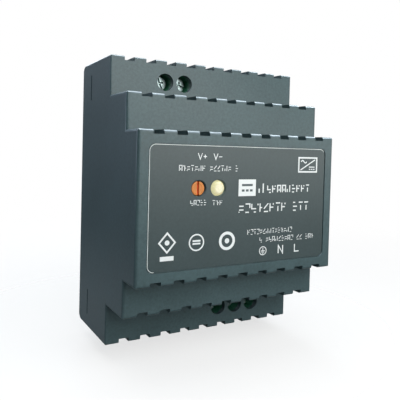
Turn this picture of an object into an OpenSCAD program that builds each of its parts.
// Stepped switch-mode power supply that clips onto a 35 mm top-hat rail.
// Frame: X runs along the rail, +Z is up and the front faces -Y.
// The origin is the middle of the rail seat: y = 0 is the plane of the rail's front flanges,
// and z = 0 is the rail's centre line. "Depth" is the distance in front of that plane, so y = -depth.

/* [Housing] */
// Width of the housing along the rail
housing_w = 71.5; // [68:0.5:110]
// Height over the terminal shoulders, the tallest level
shoulder_h = 93; // [90:0.5:125]
// Height of the middle step
step_h = 67.5; // [64:0.5:76]
// Height of the front level
front_h = 45; // [40:0.5:54]
// Depth of the terminal shoulders
shoulder_d = 31; // [29:0.5:40]
// Depth of the middle step
step_d = 46.5; // [44:0.5:52]
// Depth of the front level
front_d = 56; // [55:0.5:75]
// Wall thickness of the cover
wall = 2; // [1.6:0.1:2.4]
// Radius of the outer edges of the step and the front level
edge_r = 1; // [0.4:0.1:1.2]
// Radius of the outer edges of the terminal shoulders
shoulder_edge_r = 0.6; // [0.3:0.1:1.2]
// Depth of the rounding at the top and bottom rear corners
rear_round_d = 4.5; // [1:0.5:6]
// Height of the rounding at the top and bottom rear corners
rear_round_h = 2.2; // [1:0.1:4]

/* [Vents] */
// Number of notches along each ledge
notch_count = 9; // [3:1:11]
// Distance between notch centres
notch_pitch = 7.35; // [5:0.05:8]
// Width of a notch
notch_w = 3.4; // [2:0.1:4]
// How far a notch cuts down into the front wall of its level
notch_drop = 1.4; // [0.6:0.1:1.8]
// Length of the vent slots behind the shoulder notches
shoulder_vent_l = 7.5; // [4:0.5:8]
// Length of the vent slots behind the step notches
step_vent_l = 12; // [5:0.5:13]
// Length of the vent slots behind the front notches
front_vent_l = 7; // [4:0.5:8]

/* [Front panel] */
// Margin between the front level's sides and the label pocket
label_side = 3.4; // [2:0.1:6]
// Margin between the front level's top or bottom and the label pocket
label_top = 4; // [3:0.1:7]
// Depth of the label pocket
label_pocket = 0.45; // [0.2:0.05:0.8]
// Corner radius of the label pocket
label_r = 2; // [1:0.1:4]
// Height of the trimmer and the lamp above the centre line
indicator_z = 5.5; // [3:0.1:8]
// Sideways position of the voltage trimmer
trimmer_x = -16.3; // [-20:0.1:-15]
// Sideways position of the lamp
lamp_x = -9.6; // [-10:0.1:-5]
// Radius of the trimmer's rotor
rotor_r = 2.1; // [1.5:0.1:2.3]
// Radius of the lamp's lens
lamp_r = 2.4; // [1.5:0.1:2.5]

/* [Terminals] */
// Distance between neighbouring wire terminals
terminal_pitch = 7; // [6.6:0.1:8.4]
// Sideways middle of the two output terminals, on the top shoulder
output_x = -13.35; // [-16:0.05:-12]
// Sideways middle of the three input terminals, on the bottom shoulder
input_x = 12.8; // [12:0.1:13]
// Distance from a shoulder's outer face to its screw axes
screw_inset = 7.2; // [7:0.1:8]
// Radius of the screwdriver holes in the cover
driver_hole_r = 2.9; // [2.9:0.05:3.1]
// Nominal thread diameter of the terminal screws
screw_d = 3; // [2.5:0.5:3]
// Travel of a wire clamp from open to closed
clamp_travel = 2.5; // [1.5:0.1:2.5]

/* [Rail mount] */
// Height of the rail
rail_h = 35; // [35:1:35]
// Thickness of the rail's flanges
rail_t = 1; // [1:0.1:1.5]
// How far the hooks and the latch reach behind a flange
hook_reach = 2.6; // [1.5:0.1:3]
// Width of the sliding latch between its side wings
latch_w = 18; // [12:0.5:24]
// Travel of the latch from locked to released
latch_travel = 5; // [3:0.5:5.5]
// Wire diameter of the latch spring
spring_wire = 0.45; // [0.3:0.05:0.5]
// Outer radius of the latch spring
spring_r = 1.5; // [1.2:0.1:1.6]

/* [Board] */
// Thickness of the circuit boards
board_t = 1.6; // [1.2:0.1:2]
// Depth of the main board's rear face
board_d = 10; // [9:0.5:10.5]

/* [Hidden] */
$fn = 48;
gap = 0.3;       // assembly gap between separate mouldings
slip = 0.15;     // gap round a piece that slides in a pocket
run = 0.05;      // radial clearance of a turning or sliding metal fit
eps = 1;         // how far a cut runs past the surface that it opens

half_w = housing_w / 2;
half_h = shoulder_h / 2;
inner_w = half_w - wall;
inner_h = half_h - wall;
// Height, depth, vent length and edge radius of each level
LEVELS = [[shoulder_h, shoulder_d, shoulder_vent_l, shoulder_edge_r],
          [step_h, step_d, step_vent_l, edge_r],
          [front_h, front_d, front_vent_l, edge_r]];

// Rear base
base_recess = 0.5;                 // rear face of the base plate, in front of the rail plane
base_t = 2.5;
base_front = base_recess + base_t;
arm_t = 1.4;                       // snap arm thickness
arm_l = 7;                         // snap arm width, along Z
arm_z = half_h - 8.8;              // middle of a snap arm
slit_d = 10.3;                     // depth of the middle of a snap slit
slit_w = 0.8;
slit_l = 8.8;
boss_r = 2.6;
boss_hole_r = 1.25;
boss_hole_l = 4.5;

// Main board
board_front = board_d + board_t;
board_w = housing_w - 8.5;
board_h = shoulder_h - 7;
boss_x = board_w / 2 - 2.8;
boss_z = board_h / 2 - 3.5;
lead_r = 0.4;                      // common lead radius
lead_past = 1.2;                   // length of lead behind the board
lead_gap = 0.12;                   // radial gap of a lead in its hole

// Wire terminals. Depths are measured in front of the rail plane.
block_front = shoulder_d - wall - gap;
block_outer = inner_h - gap;       // the block's wire side, measured from z = 0
block_inner = half_h - 13.5;
block_margin = 0.8;
screw_z = half_h - screw_inset;
head_top = shoulder_d - 5;
head_t = 1.8;
head_r = 2.3;
well_r = driver_hole_r + 0.05;
seat_d = head_top - head_t - run;
shelf_t = 0.8;
pocket_front = seat_d - shelf_t;
cage_w = 5.4;
cage_h = 5.6;
cage_wall = 0.8;
cage_nut = 2;                      // thickness of the cage's threaded wall
cage_sole = 1;                     // thickness of the wall that lifts the wire
cage_front = pocket_front - 0.4 - clamp_travel;
cage_l = 7.2;
cage_rear = cage_front - cage_l;
cage_z = screw_z;
pocket_rear = cage_rear - 0.2;
bar_w = 3.2;
bar_t = 0.8;
bar_rear = cage_rear + cage_sole + clamp_travel + 0.2;
bar_front = bar_rear + bar_t;
bar_root = block_inner + 1;        // where the bar turns back towards the board
entry_w = 5.2;                     // wire entry, across the rail's direction
entry_rear = pocket_rear + 0.5;
entry_front = bar_rear + 3;
OUTPUT_X = [for (i = [0:1]) output_x + (i - 0.5) * terminal_pitch];
INPUT_X = [for (i = [-1:1]) input_x + i * terminal_pitch];

// Control board, which carries the trimmer and the lamp
control_x0 = trimmer_x - 7;
control_x1 = lamp_x + 7;
control_top = indicator_z - lamp_r - 0.1;
control_end = front_d - 10;
rotor_end = front_d - 0.7;
rotor_seat = control_end + 0.1;
stub_r = 1.5;
stub_l = 2;
lamp_flange = front_d - 7.5;
lamp_flange_r = lamp_r + 0.4;
lamp_flange_t = 1;

// Rail mount, behind the rail plane (positive y)
flange_gap = 0.3;
hook_y0 = rail_t + flange_gap;
hook_t = 2.1;
hook_w = 12;
hook_x = 20;
hook_root = rail_h / 2 + flange_gap;
hook_tip = rail_h / 2 - hook_reach;
hook_top = hook_root + 4.7;
latch_front = base_recess - gap;   // depth of the latch's front face
latch_rear = 3.2;
latch_top = -(rail_h / 2 + 0.2);
latch_bottom = -(half_h - 1);
wing_w = 1.6;
wing_rear = 1.3;
wing_top = latch_top - 2.5;
wing_bottom = latch_travel - inner_h + gap;
guide_wall = 1.8;
guide_end = -(half_h - 3.5);
nose_top = -(rail_h / 2 - hook_reach);
nose_rear = latch_rear + 1.2;
window_w = 4;
window_top = latch_top - 6.3;
window_l = 14;
window_bottom = window_top - window_l;
seat_top = window_bottom + 2.4;    // top of the fixed spring seat
seat_w = 3.2;
spring_y = 1.5;
spring_turns = 8;
spring_gap = 0.1;
pin_r = 0.7;
pin_l = 2;

// Box between two corners, given by sideways position, depth and height
module block(x, d, z) {
    translate([x[0], -d[1], z[0]]) cube([x[1] - x[0], d[1] - d[0], z[1] - z[0]]);
}

// Round bar that points to the front, from one depth to another
module rod_y(x, z, r, d) {
    translate([x, -d[0], z]) rotate([90, 0, 0]) cylinder(r = r, h = d[1] - d[0]);
}

// Round bar along the rail's direction
module rod_x(x, d, z, r) {
    translate([x[0], -d, z]) rotate([0, 90, 0]) cylinder(r = r, h = x[1] - x[0]);
}

// Round bar that points up
module rod_z(x, d, z, r) {
    translate([x, -d, z[0]]) cylinder(r = r, h = z[1] - z[0]);
}

// Ring round an axis that points to the front
module ring_y(x, z, r_in, r_out, d) {
    difference() {
        rod_y(x, z, r_out, d);
        rod_y(x, z, r_in, [d[0] - eps, d[1] + eps]);
    }
}

// Outline given in the Y-Z plane, extruded along the rail from x0 to x1
module side_prism(points, x) {
    translate([x[0], 0, 0]) rotate([90, 0, 90]) linear_extrude(x[1] - x[0]) polygon(points);
}

// Points of an arc in a plane, in steps fine enough to look round
function arc(centre, r, from, to, steps = 6) = oval(centre, r, r, from, to, steps);

// The same with two half axes, for an elliptical corner
function oval(centre, rx, ry, from, to, steps = 6) =
    [for (i = [0:steps]) let (a = from + (to - from) * i / steps)
        centre + [rx * cos(a), ry * sin(a)]];

function notch_x(i) = (i - (notch_count - 1) / 2) * notch_pitch;

// Height limits of a span that lies above the centre line (side 1) or below it (side -1)
function span(side, near, far) = side > 0 ? [near, far] : [-far, -near];

// ---------------------------------------------------------------- cover

// Rectangle with rounded corners, centred on the origin
function soft_rectangle(w, h, r) = concat(
    arc([w / 2 - r, h / 2 - r], r, 0, 90), arc([-w / 2 + r, h / 2 - r], r, 90, 180),
    arc([-w / 2 + r, -h / 2 + r], r, 180, 270), arc([w / 2 - r, -h / 2 + r], r, 270, 360));

// One level of the cover, with every outer edge rounded
module level(h, d, r) {
    intersection() {
        // Seen from above
        translate([0, 0, -h / 2 - eps]) linear_extrude(h + 2 * eps)
            polygon(concat([[-half_w, 0], [half_w, 0]],
                arc([half_w - r, -d + r], r, 0, -90), arc([-half_w + r, -d + r], r, -90, -180)));
        // Seen from the side
        side_prism(concat([[0, -h / 2], [0, h / 2]],
            arc([-d + r, h / 2 - r], r, 90, 180), arc([-d + r, -h / 2 + r], r, 180, 270)),
            [-half_w - eps, half_w + eps]);
        // Seen from the front
        translate([0, eps, 0]) rotate([90, 0, 0]) linear_extrude(d + 2 * eps)
            polygon(soft_rectangle(housing_w, h, r));
    }
}

// Side profile that rounds the top and bottom rear corners
module rear_rounding() {
    side_prism(concat([[-front_d - eps, -half_h], [-front_d - eps, half_h]],
        oval([-rear_round_d, half_h - rear_round_h], rear_round_d, rear_round_h, 90, 0),
        oval([-rear_round_d, -half_h + rear_round_h], rear_round_d, rear_round_h, 0, -90)),
        [-half_w - eps, half_w + eps]);
}

module cover_outside() {
    intersection() {
        for (l = LEVELS) level(l[0], l[1], l[3]);
        rear_rounding();
    }
}

module cover_cavity() {
    for (l = LEVELS)
        block([-inner_w, inner_w], [-eps, l[1] - wall], [wall - l[0] / 2, l[0] / 2 - wall]);
}

// A notch in the edge of a ledge, and the vent slot behind it
module ledge_vents(h, d, l) {
    for (side = [-1, 1], i = [0:notch_count - 1]) {
        x = [notch_x(i) - notch_w / 2, notch_x(i) + notch_w / 2];
        block(x, [d - wall - eps, d + eps], span(side, h / 2 - notch_drop, h / 2 + eps));
        block(x, [d - l, d - wall], span(side, h / 2 - wall - eps, h / 2 + eps));
    }
}

module terminal_openings(xs, side) {
    for (x = xs) {
        rod_y(x, side * screw_z, driver_hole_r, [shoulder_d - wall - eps, shoulder_d + eps]);
        block([x - entry_w / 2, x + entry_w / 2], [entry_rear, entry_front],
            span(side, inner_h - eps, half_h + eps));
    }
}

module snap_slits() {
    for (x = [-1, 1], z = [-1, 1])
        block(x > 0 ? [inner_w - eps, half_w + eps] : [-half_w - eps, -inner_w + eps],
            [slit_d - slit_w / 2, slit_d + slit_w / 2],
            [z * arm_z - slit_l / 2, z * arm_z + slit_l / 2]);
}

// Rounded rectangle on the front level, inset by a gap, between two depths
module label_shape(inset, d) {
    w = housing_w - 2 * (label_side + inset);
    h = front_h - 2 * (label_top + inset);
    translate([0, -d[0], 0]) rotate([90, 0, 0]) linear_extrude(d[1] - d[0])
        polygon(soft_rectangle(w, h, label_r - inset));
}

module front_cover() {
    color([0.27, 0.33, 0.35]) difference() {
        cover_outside();
        cover_cavity();
        for (l = LEVELS) ledge_vents(l[0], l[1], l[2]);
        terminal_openings(OUTPUT_X, 1);
        terminal_openings(INPUT_X, -1);
        snap_slits();
        // Relief in the bottom wall's rear edge, for the latch to slide out
        block([-latch_w / 2 - gap, latch_w / 2 + gap], [-eps, base_recess],
            [-half_h - eps, -inner_h + eps]);
        label_shape(0, [front_d - label_pocket, front_d + eps]);
        rod_y(trimmer_x, indicator_z, rotor_r + gap, [front_d - wall - eps, front_d + eps]);
        rod_y(lamp_x, indicator_z, lamp_r + 0.1, [front_d - wall - eps, front_d + eps]);
    }
}

module front_label() {
    film_t = 0.25;
    color([0.23, 0.28, 0.30]) difference() {
        label_shape(0.2, [front_d - label_pocket, front_d - label_pocket + film_t]);
        for (p = [[trimmer_x, rotor_r + gap + 0.15], [lamp_x, lamp_r + 0.25]])
            rod_y(p[0], indicator_z, p[1], [front_d - wall, front_d + eps]);
    }
}

// ---------------------------------------------------------------- rear base, latch and spring

module snap_arm(x, z) {
    outer = inner_w - 0.2;
    arm = x > 0 ? [outer - arm_t, outer] : [-outer, -outer + arm_t];
    barb = x > 0 ? [outer - 0.2, outer + 1.2] : [-outer - 1.2, -outer + 0.2];
    zs = [z * arm_z - arm_l / 2, z * arm_z + arm_l / 2];
    block(arm, [base_front - 0.5, slit_d + 2.2], zs);
    block(barb, [slit_d - slit_w / 2 + 0.12, slit_d + slit_w / 2 - 0.12], zs);
}

module board_bosses() {
    for (x = [-1, 1], z = [-1, 1]) rod_y(x * boss_x, z * boss_z, boss_r, [base_front - 0.5, board_d]);
}

// Fixed hook that hangs on the rail's upper flange, with a gusset above it
module rail_hook(x) {
    back = hook_y0 + hook_t;
    nib = 0.8;
    side_prism(concat([[-base_recess - 0.5, hook_root], [hook_y0, hook_root], [hook_y0, hook_tip]],
        oval([back - hook_t + nib, hook_tip + 1.6], hook_t - nib, 1.6, -90, 0),
        arc([back - 1.5, hook_top - 1.5], 1.5, 0, 50),
        [[-base_recess, hook_top + 4], [-base_recess - 0.5, hook_top + 4]]),
        [x - hook_w / 2, x + hook_w / 2]);
}

module latch_guides() {
    inner = latch_w / 2 + gap;
    outer = latch_w / 2 + wing_w + gap;
    top = wing_top + 1.6;
    for (s = [-1, 1]) {
        rail = s > 0 ? [outer, outer + guide_wall] : [-outer - guide_wall, -outer];
        cap = s > 0 ? [inner, outer + guide_wall] : [-outer - guide_wall, -inner];
        block(rail, [-latch_rear, base_recess + 0.5], [guide_end, top]);
        block(cap, [-latch_rear, -wing_rear - gap], [guide_end, top]);
        block(cap, [-latch_rear, base_recess + 0.5], [wing_top + 0.2, top]);
    }
}

module spring_seat() {
    block([-seat_w / 2, seat_w / 2], [-latch_rear + 0.3, base_recess + 0.5],
        [seat_top - 1.8, seat_top]);
    rod_z(0, -spring_y, [seat_top - 0.5, seat_top + pin_l], pin_r);
}

// Raised pads that bear on the rail's flanges, clear of the hooks and the latch
module rail_pads() {
    pad_z = [rail_h / 2 - 4.1, rail_h / 2 - 0.2];
    pad_x = hook_x - hook_w / 2 - 1.5;
    lower_x = [latch_w / 2 + 5, inner_w - 1.5];
    block([-pad_x, pad_x], [0, base_recess + 0.5], pad_z);
    for (s = [-1, 1])
        block(s > 0 ? lower_x : [-lower_x[1], -lower_x[0]], [0, base_recess + 0.5],
            [-pad_z[1], -pad_z[0]]);
}

// Rows of breathing slots in the base plate, between the rail's flanges
module base_vents() {
    for (row = [-1, 1], i = [-4:4])
        block([i * 6 - 1.25, i * 6 + 1.25], [base_recess - eps, base_front + eps],
            [row * 6.2 - 4, row * 6.2 + 4]);
}

// Shallow field for a rating plate, above the hooks
module rating_recess() {
    top = inner_h - 4;
    bottom = hook_top + 7;
    translate([0, eps - base_recess, (top + bottom) / 2]) rotate([90, 0, 0])
        linear_extrude(eps + 0.4) polygon(soft_rectangle(2 * inner_w - 16, top - bottom, 1.5));
}

// Ribs beside the latch guides that stiffen the plate
module base_ribs() {
    for (s = [-1, 1], i = [0:2]) {
        x = s * (latch_w / 2 + wing_w + guide_wall + 5 + i * 5);
        block([x - 0.6, x + 0.6], [base_recess - 0.4, base_recess + 0.5],
            [-inner_h + 4, -rail_h / 2 - 3]);
    }
}

module rear_base() {
    edge = 0.2;
    color([0.17, 0.20, 0.21]) difference() {
        union() {
            block([-inner_w + edge, inner_w - edge], [base_recess, base_front],
                [-inner_h + edge, inner_h - edge]);
            for (x = [-1, 1], z = [-1, 1]) snap_arm(x, z);
            board_bosses();
            for (s = [-1, 1]) rail_hook(s * hook_x);
            latch_guides();
            spring_seat();
            rail_pads();
            base_ribs();
        }
        base_vents();
        rating_recess();
        for (x = [-1, 1], z = [-1, 1])
            rod_y(x * boss_x, z * boss_z, boss_hole_r, [board_d - boss_hole_l, board_d + eps]);
    }
}

module latch_body() {
    block([-latch_w / 2, latch_w / 2], [-latch_rear, latch_front], [latch_bottom, latch_top]);
    block([-latch_w / 2 - wing_w, latch_w / 2 + wing_w], [-wing_rear, latch_front],
        [wing_bottom, wing_top]);
    // Nose behind the lower flange, sloped so that it rides over the rail when pushed on
    side_prism([[hook_y0, latch_top - 0.5], [hook_y0, nose_top], [hook_y0 + 0.9, nose_top],
        [nose_rear, latch_top - 0.8], [nose_rear, latch_top - 3], [latch_rear - 0.5, latch_top - 4.6]],
        [-latch_w / 2, latch_w / 2]);
}

module din_latch() {
    slot_z = latch_bottom + 1.3;
    color([0.13, 0.15, 0.16]) difference() {
        union() {
            difference() {
                latch_body();
                block([-window_w / 2, window_w / 2], [-nose_rear - eps, latch_front + eps],
                    [window_bottom, window_top]);
            }
            rod_z(0, -spring_y, [window_top - pin_l, window_top + 0.5], pin_r);
        }
        // Slot for a screwdriver blade, and shallow grip grooves above it
        block([-3, 3], [-latch_rear - eps, latch_front + eps], [slot_z, slot_z + 1.8]);
        for (i = [0:2])
            block([-6.5, 6.5], [-latch_rear - eps, -latch_rear + 0.5],
                [slot_z + 3.2 + i * 1.2, slot_z + 3.8 + i * 1.2]);
    }
}

// Round wire swept along a helix that stands on the spring seat
function coil_ring(i, n) =
    let (turn = 360 * spring_turns * i / n,
         low = seat_top + spring_gap + spring_wire / 2,
         high = window_top - spring_gap - spring_wire / 2,
         flat = 0.12,
         t = min(max((i / n - flat) / (1 - 2 * flat), 0), 1),
         dead = spring_wire * 1.05,
         z = low + dead * min(i / n / flat, 1) + (high - low - 2 * dead) * t
             + dead * max((i / n - 1 + flat) / flat, 0),
         mid_r = spring_r - spring_wire / 2)
    [for (k = [0:7]) let (a = 45 * k, r = mid_r + spring_wire / 2 * cos(a))
        [r * cos(turn), spring_y + r * sin(turn), z + spring_wire / 2 * sin(a)]];

module latch_spring() {
    rings = spring_turns * 14;
    points = [for (i = [0:rings]) each coil_ring(i, rings)];
    sides = [for (i = [0:rings - 1], k = [0:7])
        [i * 8 + k, i * 8 + (k + 1) % 8, i * 8 + 8 + (k + 1) % 8, i * 8 + 8 + k]];
    ends = [[for (k = [7:-1:0]) k], [for (k = [0:7]) rings * 8 + k]];
    color([0.75, 0.76, 0.78]) polyhedron(points, concat(sides, ends));
}

// ---------------------------------------------------------------- wire terminals

// Moulded block for a row of wire terminals
module terminal_block(xs, side) {
    margin = terminal_pitch / 2 + block_margin;
    last = len(xs) - 1;
    color([0.10, 0.42, 0.22]) difference() {
        block([xs[0] - margin, xs[last] + margin], [board_front, block_front],
            span(side, block_inner, block_outer));
        for (x = xs) {
            rod_y(x, side * screw_z, well_r, [seat_d, block_front + eps]);
            rod_y(x, side * screw_z, screw_d / 2 + 0.1, [pocket_front - eps, seat_d + eps]);
            block([x - cage_w / 2 - slip, x + cage_w / 2 + slip], [pocket_rear, pocket_front],
                span(side, cage_z - cage_h / 2 - slip, cage_z + cage_h / 2 + slip));
            block([x - entry_w / 2, x + entry_w / 2], [entry_rear, entry_front],
                span(side, cage_z, block_outer + eps));
            // Passage for the contact bar and its leg
            block([x - bar_w / 2 - run, x + bar_w / 2 + run], [bar_rear - run, bar_front + run],
                span(side, bar_root - run, cage_z));
            block([x - bar_w / 2 - run, x + bar_w / 2 + run], [board_front - eps, bar_front + run],
                span(side, bar_root - run, bar_root + bar_t + run));
        }
        // Grooves between the poles, on the wire side
        for (i = [0:last - 1])
            block([xs[i] + terminal_pitch / 2 - 0.3, xs[i] + terminal_pitch / 2 + 0.3],
                [board_front + 2, block_front + eps],
                span(side, block_outer - 0.6, block_outer + eps));
    }
}

// Contact bars that the wires are clamped against, with their legs through the board
module contact_bars(xs, side) {
    color([0.80, 0.78, 0.72]) for (x = xs) {
        block([x - bar_w / 2, x + bar_w / 2], [bar_rear, bar_front],
            span(side, bar_root, cage_z + cage_h / 2 - 0.4));
        block([x - bar_w / 2, x + bar_w / 2], [board_front + 0.4, bar_front],
            span(side, bar_root, bar_root + bar_t));
        block([x - 0.6, x + 0.6], [board_d - lead_past, board_front + 0.5],
            span(side, bar_root, bar_root + bar_t));
    }
}

// Rising clamp with a threaded front wall
module wire_clamp(x, side) {
    color([0.72, 0.73, 0.75]) difference() {
        block([x - cage_w / 2, x + cage_w / 2], [cage_rear, cage_front],
            span(side, cage_z - cage_h / 2, cage_z + cage_h / 2));
        block([x - cage_w / 2 + cage_wall, x + cage_w / 2 - cage_wall],
            [cage_rear + cage_sole, cage_front - cage_nut],
            span(side, cage_z - cage_h / 2 - eps, cage_z + cage_h / 2 + eps));
        rod_y(x, side * cage_z, screw_d / 2, [cage_rear + cage_sole, cage_front + eps]);
    }
}

// Terminal screw with a slotted cross recess, turned by an angle
module terminal_screw(x, side, angle) {
    shank_r = screw_d / 2 - run;
    tip_d = bar_front + 0.1;
    color([0.78, 0.79, 0.80]) difference() {
        union() {
            rod_y(x, side * screw_z, head_r, [head_top - head_t, head_top]);
            rod_y(x, side * screw_z, shank_r, [tip_d, head_top - head_t + 0.1]);
        }
        for (a = [0, 90])
            translate([x, -head_top, side * screw_z]) rotate([0, angle + a, 0])
                cube(a == 0 ? [2 * head_r + eps, 2 * 0.9, 0.75] : [2.6, 2 * 1.1, 0.6], center = true);
    }
}

// ---------------------------------------------------------------- boards and their parts

OUTPUT_LEGS = [for (x = OUTPUT_X) [x, bar_root + bar_t / 2]];
INPUT_LEGS = [for (x = INPUT_X) [x, -bar_root - bar_t / 2]];

// Positions of the larger parts on the main board: sideways, height
left = -board_w / 2;
right = board_w / 2;
BULK = [left + 10.2, -10.2];
BULK_R = 9;
BULK_L = 35;
CHOKE_IN = [left + 11, -28.8];
CHOKE_IN_R = 8.4;
FUSE = [-5, -32];
FUSE_L = 20;
FUSE_R = 2.6;
FUSE_D = board_front + 4.6;
VARISTOR = [right - 4.2, -27.4];
INRUSH = [right - 4.2, -17.8];
X_CAP = [11.5, -24.5];
BRIDGE = [12, -16.6];
PRIMARY_SINK = [-8.2, -11];
TRANSFORMER = [right - 15.5, 1.5];
SECOND_SINK = [8, 19];
OUT_CAPS = [[left + 6.3, 26.2], [left + 17.8, 26.2], [left + 29.3, 26.2]];
OUT_CAP_R = 5;
OUT_CAP_L = 25;
CHOKE_OUT = [15, 32.6];
CHOKE_OUT_R = 7.8;
Y_CAPS = [[0.2, -17], [0.2, -26]];
COUPLERS = [[left + 7, 8.5], [left + 7, 15.5]];
CHIPS = [[left + 17, 9.5, 5, 4], [left + 17, 16, 4, 5], [-6.2, 15.6, 3, 3]];
RESISTORS = [[-6.5, 7], [-6.5, 9.7], [-6.5, 12.4]];

// Leads of every through-hole part, as board positions
function pair(p, dx, dz) = [[p[0] - dx, p[1] - dz], [p[0] + dx, p[1] + dz]];
BULK_LEADS = pair(BULK, 5, 0);
CHOKE_IN_LEADS = concat(pair(CHOKE_IN, 5, 5.5), pair(CHOKE_IN, 5, -5.5));
FUSE_LEADS = pair(FUSE, 0, FUSE_L / 2 - 2.5);
VARISTOR_LEADS = pair(VARISTOR, 0, 2.5);
INRUSH_LEADS = pair(INRUSH, 0, 2.5);
X_CAP_LEADS = pair(X_CAP, 7.5, 0);
BRIDGE_LEADS = [for (i = [-1.5:1:1.5]) [BRIDGE[0] + i * 3.8, BRIDGE[1]]];
FET_LEADS = [for (i = [-1:1]) [PRIMARY_SINK[0] + 3.2, PRIMARY_SINK[1] + i * 2.54]];
DIODE_LEADS = [for (i = [-1:1]) [SECOND_SINK[0] + i * 2.54, SECOND_SINK[1] + 3.2]];
TRANSFORMER_LEADS = [for (z = [-11, 11], i = [-2:2]) TRANSFORMER + [i * 4.2, z]];
OUT_CAP_LEADS = [for (p = OUT_CAPS) each pair(p, 2.5, 0)];
CHOKE_OUT_LEADS = pair(CHOKE_OUT, 5, 0);
Y_CAP_LEADS = [for (p = Y_CAPS) each pair(p, 0, 2.5)];
COUPLER_LEADS = [for (p = COUPLERS, x = [-3.81, 3.81], z = [-1.27, 1.27]) p + [x, z]];
RESISTOR_LEADS = [for (p = RESISTORS) each pair(p, 3.6, 0)];
HEADER_LEADS = [for (i = [-2:2]) [(control_x0 + control_x1) / 2 + i * 2.54, control_top + 1.3]];
SINK_LEADS = concat(pair(PRIMARY_SINK, 0, 8), pair(SECOND_SINK, 12, 0));
LEADS = concat(BULK_LEADS, CHOKE_IN_LEADS, FUSE_LEADS, VARISTOR_LEADS, INRUSH_LEADS, X_CAP_LEADS,
    BRIDGE_LEADS, FET_LEADS, DIODE_LEADS, TRANSFORMER_LEADS, OUT_CAP_LEADS, CHOKE_OUT_LEADS,
    Y_CAP_LEADS, COUPLER_LEADS, RESISTOR_LEADS, HEADER_LEADS, SINK_LEADS);

// Leads that run from behind the board up to a part
module leads(points, to) {
    for (p = points) rod_y(p[0], p[1], lead_r, [board_d - lead_past, to]);
}

module main_board() {
    color([0.13, 0.36, 0.20]) difference() {
        block([left, right], [board_d, board_front], [-board_h / 2, board_h / 2]);
        for (x = [-1, 1], z = [-1, 1])
            rod_y(x * boss_x, z * boss_z, 1.5, [board_d - eps, board_front + eps]);
        for (p = LEADS) rod_y(p[0], p[1], lead_r + lead_gap, [board_d - eps, board_front + eps]);
        for (p = concat(OUTPUT_LEGS, INPUT_LEGS))
            block([p[0] - 0.75, p[0] + 0.75], [board_d - eps, board_front + eps],
                [p[1] - bar_t / 2 - 0.15, p[1] + bar_t / 2 + 0.15]);
    }
}

// Solder cones round the leads, on the rear of the main board
module solder_joints() {
    color([0.78, 0.79, 0.80]) for (p = LEADS)
        translate([p[0], -board_d, p[1]]) rotate([-90, 0, 0]) difference() {
            cylinder(r1 = 1, r2 = 0.55, h = 0.8);
            translate([0, 0, -eps]) cylinder(r = lead_r + 0.02, h = 0.8 + 2 * eps);
        }
}

module board_screws() {
    color([0.78, 0.79, 0.80]) for (x = [-1, 1], z = [-1, 1]) difference() {
        union() {
            rod_y(x * boss_x, z * boss_z, 2.4, [board_front, board_front + 1.5]);
            rod_y(x * boss_x, z * boss_z, boss_hole_r - run, [board_d - 4, board_front + 0.1]);
        }
        for (a = [0, 90])
            translate([x * boss_x, -board_front - 1.5, z * boss_z]) rotate([0, 45 + a, 0])
                cube([2.6, 1.6, 0.6], center = true);
    }
}

// Polyester sheet that lies on the base plate, under the solder side
module insulation_sheet() {
    color([0.85, 0.87, 0.85]) difference() {
        block([-inner_w + 3, inner_w - 3], [base_front, base_front + 0.35],
            [-inner_h + 2, inner_h - 2]);
        for (x = [-1, 1], z = [-1, 1])
            rod_y(x * boss_x, z * boss_z, boss_r + gap, [base_front - eps, base_front + eps]);
    }
}

// Round electrolytic capacitor: shrink sleeve
module can_sleeve(p, r, l) {
    ring_y(p[0], p[1], r - 0.35, r, [board_front + 0.6, board_front + l - 0.25]);
    ring_y(p[0], p[1], r - 1.3, r - 0.36, [board_front + l - 0.55, board_front + l - 0.25]);
}

// Round electrolytic capacitor: can with a scored top, seal and leads
module can_body(p, r, l, points) {
    inner = r - 0.36;
    difference() {
        rod_y(p[0], p[1], inner, [board_front + 0.3, board_front + l - 0.6]);
        for (a = [0, 90])
            translate([p[0], -board_front - l + 0.6, p[1]]) rotate([0, a, 0])
                cube([r, 0.5, 0.35], center = true);
    }
    leads(points, board_front + 0.4);
}

module bulk_capacitor_sleeve() {
    color([0.12, 0.13, 0.16]) can_sleeve(BULK, BULK_R, BULK_L);
}

module bulk_capacitor_can() {
    color([0.80, 0.81, 0.83]) can_body(BULK, BULK_R, BULK_L, BULK_LEADS);
}

module output_capacitor_sleeves() {
    color([0.10, 0.25, 0.32]) for (p = OUT_CAPS) can_sleeve(p, OUT_CAP_R, OUT_CAP_L);
}

module output_capacitor_cans() {
    color([0.80, 0.81, 0.83]) for (p = OUT_CAPS)
        can_body(p, OUT_CAP_R, OUT_CAP_L, pair(p, 2.5, 0));
}

// Glass fuse held in two spring clips
module fuse_glass() {
    color([0.85, 0.92, 0.92, 0.5]) difference() {
        rod_z(FUSE[0], FUSE_D, [FUSE[1] - FUSE_L / 2 + 0.8, FUSE[1] + FUSE_L / 2 - 0.8], FUSE_R - 0.3);
        rod_z(FUSE[0], FUSE_D, [FUSE[1] - FUSE_L / 2, FUSE[1] + FUSE_L / 2], FUSE_R - 0.9);
    }
}

module fuse_caps() {
    color([0.80, 0.79, 0.72]) for (s = [-1, 1]) {
        far = FUSE_L / 2;
        difference() {
            rod_z(FUSE[0], FUSE_D, [FUSE[1] + (s > 0 ? far - 5 : -far),
                FUSE[1] + (s > 0 ? far : -far + 5)], FUSE_R);
            rod_z(FUSE[0], FUSE_D, [FUSE[1] - far + 0.7, FUSE[1] + far - 0.7], FUSE_R - 0.29);
        }
    }
    color([0.80, 0.79, 0.72])
        rod_z(FUSE[0], FUSE_D, [FUSE[1] - FUSE_L / 2 + 0.7, FUSE[1] + FUSE_L / 2 - 0.7], 0.1);
}

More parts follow.
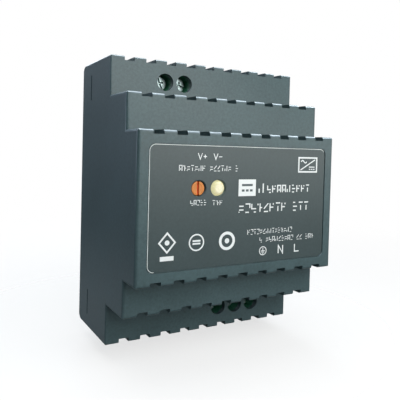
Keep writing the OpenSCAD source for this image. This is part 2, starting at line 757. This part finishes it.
module fuse_clips() {
    color([0.75, 0.74, 0.68]) for (s = [-1, 1]) {
        z = FUSE[1] + s * (FUSE_L / 2 - 2.5);
        difference() {
            block([FUSE[0] - FUSE_R - 0.5, FUSE[0] + FUSE_R + 0.5], [board_front, FUSE_D + 1.6],
                [z - 1.8, z + 1.8]);
            rod_z(FUSE[0], FUSE_D, [z - 3, z + 3], FUSE_R + 0.02);
            block([FUSE[0] - FUSE_R + 0.4, FUSE[0] + FUSE_R - 0.4], [FUSE_D, FUSE_D + 3],
                [z - 3, z + 3]);
            block([FUSE[0] - FUSE_R, FUSE[0] + FUSE_R], [board_front + 0.6, FUSE_D - FUSE_R - 0.6],
                [z - 3, z + 3]);
        }
    }
    color([0.75, 0.74, 0.68]) leads(FUSE_LEADS, board_front + 0.3);
}

// Coated disc that stands on two leads, facing sideways
module disc_part(p, r, t, lift) {
    rod_x([p[0] - t / 2, p[0] + t / 2], board_front + lift + r, p[1], r);
    leads(pair(p, 0, 2.5), board_front + lift + r * 0.5);
}

module varistor() {
    color([0.12, 0.28, 0.62]) disc_part(VARISTOR, 4.8, 3.6, 1.2);
}

module inrush_limiter() {
    color([0.16, 0.20, 0.16]) disc_part(INRUSH, 4.4, 3.4, 1.2);
}

module y_capacitors() {
    color([0.16, 0.34, 0.66]) for (p = Y_CAPS) disc_part(p, 3.8, 2.8, 1.2);
}

module x_capacitor() {
    color([0.86, 0.72, 0.18]) {
        block([X_CAP[0] - 9, X_CAP[0] + 9], [board_front, board_front + 14],
            [X_CAP[1] - 4, X_CAP[1] + 4]);
        leads(X_CAP_LEADS, board_front + 0.5);
    }
}

// Ring core that lies flat on the board
module ring_core(p, r_out, r_in, d) {
    ring_y(p[0], p[1], r_in, r_out, d);
}

// Turns of wire round a ring core, over two opposite sectors
module ring_winding(p, r_out, r_in, d, turns, sector, wire) {
    mid = (r_out + r_in) / 2;
    w = r_out - r_in;
    for (s = [0, 180], i = [0:turns - 1]) {
        a = s + sector * (i / (turns - 1) - 0.5);
        translate([p[0], -(d[0] + d[1]) / 2, p[1]]) rotate([0, a, 0]) translate([mid, 0, 0])
            difference() {
                cube([w + 2 * wire + 0.1, d[1] - d[0] + 2 * wire + 0.1, wire], center = true);
                cube([w + 0.1, d[1] - d[0] + 0.1, 2 * wire], center = true);
            }
    }
}

CHOKE_IN_D = [board_front + 2.6, board_front + 9.6];
CHOKE_OUT_D = [board_front + 2.6, board_front + 9.1];

module input_choke_core() {
    color([0.20, 0.21, 0.22]) ring_core(CHOKE_IN, CHOKE_IN_R - 0.9, 3.9, CHOKE_IN_D);
}

module input_choke_winding() {
    color([0.72, 0.42, 0.20])
        ring_winding(CHOKE_IN, CHOKE_IN_R - 0.9, 3.9, CHOKE_IN_D, 9, 128, 0.75);
}

module input_choke_cradle() {
    color([0.12, 0.12, 0.13]) {
        ring_y(CHOKE_IN[0], CHOKE_IN[1], 4.2, CHOKE_IN_R - 0.6,
            [board_front, CHOKE_IN_D[0] - 0.85]);
        leads(CHOKE_IN_LEADS, board_front + 0.5);
    }
}

module output_choke_core() {
    color([0.86, 0.80, 0.30]) ring_core(CHOKE_OUT, CHOKE_OUT_R - 1, 3.6, CHOKE_OUT_D);
}

module output_choke_winding() {
    color([0.76, 0.44, 0.20]) {
        ring_winding(CHOKE_OUT, CHOKE_OUT_R - 1, 3.6, CHOKE_OUT_D, 7, 140, 0.85);
        ring_y(CHOKE_OUT[0], CHOKE_OUT[1], 4.2, 6, [board_front, CHOKE_OUT_D[0] - 0.95]);
        leads(CHOKE_OUT_LEADS, board_front + 0.5);
    }
}

module bridge_rectifier() {
    color([0.10, 0.10, 0.11]) {
        block([BRIDGE[0] - 8.5, BRIDGE[0] + 8.5], [board_front + 2, board_front + 13],
            [BRIDGE[1] - 1.7, BRIDGE[1] + 1.7]);
        leads(BRIDGE_LEADS, board_front + 2.5);
    }
}

// Heat sink for the power switch: a plate with a bent top, on two pegs
module primary_heatsink() {
    x = PRIMARY_SINK[0];
    color([0.78, 0.79, 0.80]) difference() {
        union() {
            block([x - 0.8, x + 0.8], [board_front, board_front + 26],
                [PRIMARY_SINK[1] - 10, PRIMARY_SINK[1] + 10]);
            block([x - 3.4, x + 0.8], [board_front + 24.4, board_front + 26],
                [PRIMARY_SINK[1] - 10, PRIMARY_SINK[1] + 10]);
            leads(pair(PRIMARY_SINK, 0, 8), board_front + 0.5);
        }
        rod_x([x - 2, x + 2], board_front + 18.5, PRIMARY_SINK[1], 1.6);
    }
}

// Power transistor on its heat sink's face
module power_transistor() {
    x = PRIMARY_SINK[0] + 0.8;
    z = PRIMARY_SINK[1];
    color([0.10, 0.10, 0.11]) difference() {
        union() {
            block([x, x + 1.3], [board_front + 6, board_front + 21.5], [z - 5, z + 5]);
            block([x + 0.2, x + 4.4], [board_front + 6, board_front + 15], [z - 5, z + 5]);
            for (p = FET_LEADS) rod_y(p[0], p[1], lead_r, [board_d - lead_past, board_front + 6.2]);
        }
        rod_x([x - 1, x + 3], board_front + 18.5, z, 1.6);
    }
}

// Heat sink for the output rectifier, with its face towards the top
module output_heatsink() {
    z = SECOND_SINK[1];
    color([0.78, 0.79, 0.80]) difference() {
        union() {
            block([SECOND_SINK[0] - 15, SECOND_SINK[0] + 15], [board_front, board_front + 26],
                [z - 0.8, z + 0.8]);
            for (x = [-15, 13.4])
                block([SECOND_SINK[0] + x, SECOND_SINK[0] + x + 1.6],
                    [board_front + 20, board_front + 26], [z - 4, z + 0.8]);
            leads(pair(SECOND_SINK, 12, 0), board_front + 0.5);
        }
        translate([SECOND_SINK[0], -(board_front + 18.5), z - 3]) cylinder(r = 1.6, h = 6);
    }
}

module output_rectifier() {
    x = SECOND_SINK[0];
    z = SECOND_SINK[1] + 0.8;
    color([0.10, 0.10, 0.11]) difference() {
        union() {
            block([x - 5, x + 5], [board_front + 6, board_front + 21.5], [z, z + 1.3]);
            block([x - 5, x + 5], [board_front + 6, board_front + 15], [z + 0.2, z + 4.4]);
            for (p = DIODE_LEADS)
                rod_y(p[0], p[1], lead_r, [board_d - lead_past, board_front + 6.2]);
        }
        translate([x, -(board_front + 18.5), z - 1]) cylinder(r = 1.6, h = 4);
    }
}

// Screws that press the power parts onto their heat sinks
module heatsink_screws() {
    d = board_front + 18.5;
    color([0.70, 0.71, 0.73]) {
        x = PRIMARY_SINK[0];
        rod_x([x + 2.1, x + 4], d, PRIMARY_SINK[1], 2.6);
        rod_x([x - 2.6, x + 2.2], d, PRIMARY_SINK[1], 1.5);
        z = SECOND_SINK[1];
        rod_z(SECOND_SINK[0], d, [z + 2.1, z + 4], 2.6);
        rod_z(SECOND_SINK[0], d, [z - 2.6, z + 2.2], 1.5);
    }
}

// Transformer: ferrite frame round a bobbin with flanges and a taped winding
TR_W = 27;
TR_L = 24;
TR_D0 = board_front + 3;
TR_D1 = board_front + 31;

module transformer_core() {
    p = TRANSFORMER;
    color([0.17, 0.17, 0.18]) difference() {
        block([p[0] - TR_W / 2, p[0] + TR_W / 2], [TR_D0 + 3, TR_D1 - 3], [p[1] - 5.5, p[1] + 5.5]);
        for (s = [-1, 1]) {
            hole = s > 0 ? [p[0] + 4.5, p[0] + TR_W / 2 - 4.5] : [p[0] - TR_W / 2 + 4.5, p[0] - 4.5];
            block(hole, [TR_D0 + 7.5, TR_D1 - 7.5], [p[1] - 6, p[1] + 6]);
        }
    }
}

module transformer_winding() {
    p = TRANSFORMER;
    w = TR_W / 2 - 4.7;
    color([0.85, 0.70, 0.15]) difference() {
        block([p[0] - w, p[0] + w], [TR_D0 + 8.6, TR_D1 - 8.6], [p[1] - 10.2, p[1] + 10.2]);
        block([p[0] - 5.3, p[0] + 5.3], [TR_D0, TR_D1], [p[1] - 6.3, p[1] + 6.3]);
    }
}

module transformer_bobbin() {
    p = TRANSFORMER;
    w = TR_W / 2 - 4.7;
    color([0.09, 0.09, 0.10]) {
        difference() {
            union() {
                for (d = [TR_D0 + 7.6, TR_D1 - 8.5])
                    block([p[0] - w, p[0] + w], [d, d + 0.9], [p[1] - TR_L / 2 + 0.6, p[1] + TR_L / 2 - 0.6]);
                block([p[0] - 5.2, p[0] + 5.2], [TR_D0 + 8, TR_D1 - 8], [p[1] - 6.2, p[1] + 6.2]);
            }
            block([p[0] - 4.6, p[0] + 4.6], [TR_D0, TR_D1], [p[1] - 5.6, p[1] + 5.6]);
        }
        // Pin rails at both ends, which stand on the board
        for (s = [-1, 1])
            block([p[0] - TR_W / 2 + 1, p[0] + TR_W / 2 - 1], [board_front, TR_D0 + 7.7],
                s > 0 ? [p[1] + TR_L / 2 - 3, p[1] + TR_L / 2]
                      : [p[1] - TR_L / 2, p[1] - TR_L / 2 + 3]);
        leads(TRANSFORMER_LEADS, board_front + 0.5);
    }
}

module optocouplers() {
    color([0.90, 0.90, 0.88]) for (p = COUPLERS) {
        block([p[0] - 3.2, p[0] + 3.2], [board_front + 0.5, board_front + 4], [p[1] - 2.3, p[1] + 2.3]);
        for (x = [-3.81, 3.81], z = [-1.27, 1.27]) {
            rod_y(p[0] + x, p[1] + z, lead_r, [board_d - lead_past, board_front + 2.2]);
            rod_x(x > 0 ? [p[0] + 3, p[0] + x] : [p[0] + x, p[0] - 3], board_front + 2,
                p[1] + z, 0.2);
        }
    }
}

module controller_chips() {
    color([0.08, 0.08, 0.09]) for (c = CHIPS)
        block([c[0] - c[2] / 2, c[0] + c[2] / 2], [board_front, board_front + 1.5],
            [c[1] - c[3] / 2, c[1] + c[3] / 2]);
}

module power_resistors() {
    color([0.55, 0.68, 0.78]) for (p = RESISTORS) {
        rod_x([p[0] - 2.6, p[0] + 2.6], board_front + 1.3, p[1], 1.1);
        rod_x([p[0] - 3.6, p[0] + 3.6], board_front + 1.3, p[1], 0.3);
        leads(pair(p, 3.6, 0), board_front + 1.5);
    }
}

// ---------------------------------------------------------------- control board, trimmer and lamp

module control_board() {
    color([0.13, 0.36, 0.20]) block([control_x0, control_x1], [board_front, control_end],
        [control_top - board_t, control_top]);
}

module board_header() {
    mid = (control_x0 + control_x1) / 2;
    color([0.10, 0.10, 0.11]) {
        block([mid - 6.5, mid + 6.5], [board_front, board_front + 2.5],
            [control_top, control_top + 2.6]);
        for (p = HEADER_LEADS) rod_y(p[0], p[1], lead_r, [board_d - lead_past, board_front + 4]);
    }
}

module trimmer_body() {
    color([0.15, 0.30, 0.62]) difference() {
        block([trimmer_x - 3.4, trimmer_x + 3.4], [control_end - 7, control_end],
            [control_top, 2 * indicator_z - control_top]);
        rod_y(trimmer_x, indicator_z, stub_r + run, [control_end - stub_l - 0.3, control_end + eps]);
    }
}

module trimmer_rotor() {
    color([0.78, 0.40, 0.12]) difference() {
        union() {
            rod_y(trimmer_x, indicator_z, stub_r, [rotor_seat - stub_l, rotor_seat + 0.1]);
            rod_y(trimmer_x, indicator_z, rotor_r + 0.6, [rotor_seat, rotor_seat + 1.4]);
            rod_y(trimmer_x, indicator_z, rotor_r, [rotor_seat + 1, rotor_end]);
        }
        translate([trimmer_x, -rotor_end, indicator_z])
            cube([0.7, 1.8, 2 * rotor_r + eps], center = true);
    }
}

module status_lamp() {
    color([0.96, 0.93, 0.66]) intersection() {
        union() {
            rod_y(lamp_x, indicator_z, lamp_flange_r, [lamp_flange, lamp_flange + lamp_flange_t]);
            rod_y(lamp_x, indicator_z, lamp_r, [lamp_flange, front_d - 1.6]);
            translate([lamp_x, -(front_d - 1.6), indicator_z]) sphere(r = lamp_r);
        }
        // The dome ends in a small flat just proud of the panel
        block([lamp_x - 9, lamp_x + 9], [lamp_flange, front_d + 0.4],
            [indicator_z - 9, indicator_z + 9]);
    }
}

// Lamp leads, bent down onto the control board
module lamp_leads() {
    color([0.80, 0.80, 0.80]) for (s = [-1, 1]) {
        x = lamp_x + s * 1.27;
        rod_y(x, indicator_z, 0.25, [control_end - 1.5, lamp_flange]);
        rod_z(x, control_end - 1.5, [control_top, indicator_z + 0.25], 0.25);
    }
}

// ---------------------------------------------------------------- assembly

front_cover();
front_label();
rear_base();
din_latch();
latch_spring();
terminal_block(OUTPUT_X, 1);  // output_terminal_block
terminal_block(INPUT_X, -1);  // input_terminal_block
contact_bars(OUTPUT_X, 1);  // output_contact_bars
contact_bars(INPUT_X, -1);  // input_contact_bars
terminal_screw(OUTPUT_X[0], 1, 68);  // output_plus_screw
terminal_screw(OUTPUT_X[1], 1, 20);  // output_minus_screw
terminal_screw(INPUT_X[0], -1, 50);  // earth_screw
terminal_screw(INPUT_X[1], -1, 105);  // neutral_screw
terminal_screw(INPUT_X[2], -1, 35);  // line_screw
wire_clamp(OUTPUT_X[0], 1);  // output_plus_clamp
wire_clamp(OUTPUT_X[1], 1);  // output_minus_clamp
wire_clamp(INPUT_X[0], -1);  // earth_clamp
wire_clamp(INPUT_X[1], -1);  // neutral_clamp
wire_clamp(INPUT_X[2], -1);  // line_clamp
main_board();
solder_joints();
board_screws();
insulation_sheet();
bulk_capacitor_sleeve();
bulk_capacitor_can();
output_capacitor_sleeves();
output_capacitor_cans();
fuse_glass();
fuse_caps();
fuse_clips();
varistor();
inrush_limiter();
y_capacitors();
x_capacitor();
input_choke_core();
input_choke_winding();
input_choke_cradle();
output_choke_core();
output_choke_winding();
bridge_rectifier();
primary_heatsink();
power_transistor();
output_heatsink();
output_rectifier();
heatsink_screws();
transformer_core();
transformer_winding();
transformer_bobbin();
optocouplers();
controller_chips();
power_resistors();
control_board();
board_header();
trimmer_body();
trimmer_rotor();
status_lamp();
lamp_leads();
